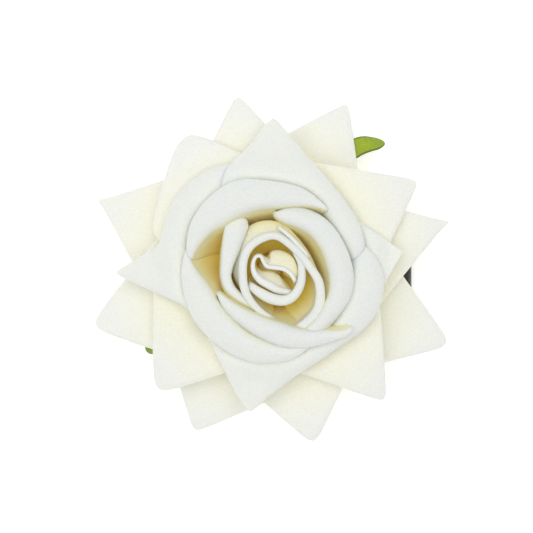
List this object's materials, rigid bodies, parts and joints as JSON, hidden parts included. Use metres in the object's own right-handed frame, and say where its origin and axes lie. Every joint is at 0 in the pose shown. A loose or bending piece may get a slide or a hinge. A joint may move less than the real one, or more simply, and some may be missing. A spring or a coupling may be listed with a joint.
{
  "type": "flower hair clip",
  "caption": "Flocked fabric rose with layered pointed petals on a sprung toothed hair clip that opens when its levers are pressed together.",
  "frame": {"origin": "on the surface the closed clip lies on, under the flower's stem and the middle of its outline", "axes": "+Z is the way the flower faces, along its stem; +X runs along the clip from the tip of its jaws to its levers; +Y completes the frame, across the clip"},
  "size_m": [0.0896, 0.0874, 0.0423],
  "materials": {
    "petal_flock": "white flocked velvet cloth, creamy towards the base of each petal",
    "sepal_cloth": "yellow-green printed cloth",
    "calyx_plastic": "moulded green plastic",
    "felt": "white pressed felt",
    "hot_glue": "cloudy set hot glue",
    "stem_plastic": "moulded plastic",
    "core_foam": "cream foam",
    "black_paint": "black coated pressed steel, half gloss",
    "spring_steel": "plain drawn wire and rivet steel"
  },
  "bodies": {
    "flower": {"outer_petals_1": "petal_flock", "outer_petals_2": "petal_flock", "outer_petals_3": "petal_flock", "outer_petals_4": "petal_flock", "cup_petals": "petal_flock", "bud_wrap": "petal_flock", "bud_spiral": "petal_flock", "bud_inner": "petal_flock", "bud_curl": "petal_flock", "bud_core": "core_foam", "stem_pin": "stem_plastic", "calyx": "calyx_plastic", "sepal_star": "sepal_cloth", "felt_disc": "felt", "flower_glue": "hot_glue", "clip_glue": "hot_glue", "clip_top_arm": "black_paint", "pivot_pin": "spring_steel", "torsion_spring": "spring_steel"},
    "lower_jaw": {"clip_lower_arm": "black_paint"}
  },
  "joints": [
    {"name": "jaw_hinge", "type": "hinge", "parent": "flower", "child": "lower_jaw", "pos_m": [0.01, -0.002, 0.0072], "axis": [0, -1, 0], "range_deg": [0, 18], "stiffness_Nm_per_rad": 0.05, "springref_deg": -20.05, "deforming": ["torsion_spring"]}
  ]
}
